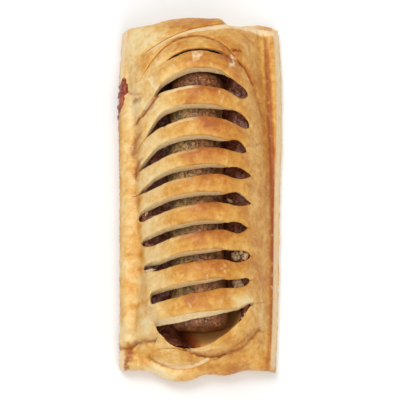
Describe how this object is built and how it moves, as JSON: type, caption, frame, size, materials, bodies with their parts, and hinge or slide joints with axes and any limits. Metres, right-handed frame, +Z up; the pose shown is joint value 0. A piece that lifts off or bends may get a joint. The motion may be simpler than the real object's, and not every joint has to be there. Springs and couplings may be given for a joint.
{
  "type": "frikandel roll",
  "caption": "Flat rectangular puff-pastry roll with a slashed lid that has opened into bands over a long minced-meat sausage in dark curry sauce.",
  "frame": {"origin": "on the surface that the roll stands on, under the middle of its outline", "axes": "+X across the roll, +Y along it from the near end, where the sausage shows in a wide opening, to the folded far end, +Z up"},
  "size_m": [0.0733, 0.1634, 0.0344],
  "materials": {
    "pastry": "egg-washed puff pastry, golden, satin",
    "frikandel": "fried minced meat, brown, moist",
    "curry_sauce": "thick curry sauce, dark red-brown, wet",
    "leaked_sauce": "baked curry sauce, red-brown, wet"
  },
  "bodies": {
    "root": {"pastry": "pastry", "frikandel": "frikandel", "curry_sauce": "curry_sauce", "leaked_sauce": "leaked_sauce"}
  },
  "joints": []
}
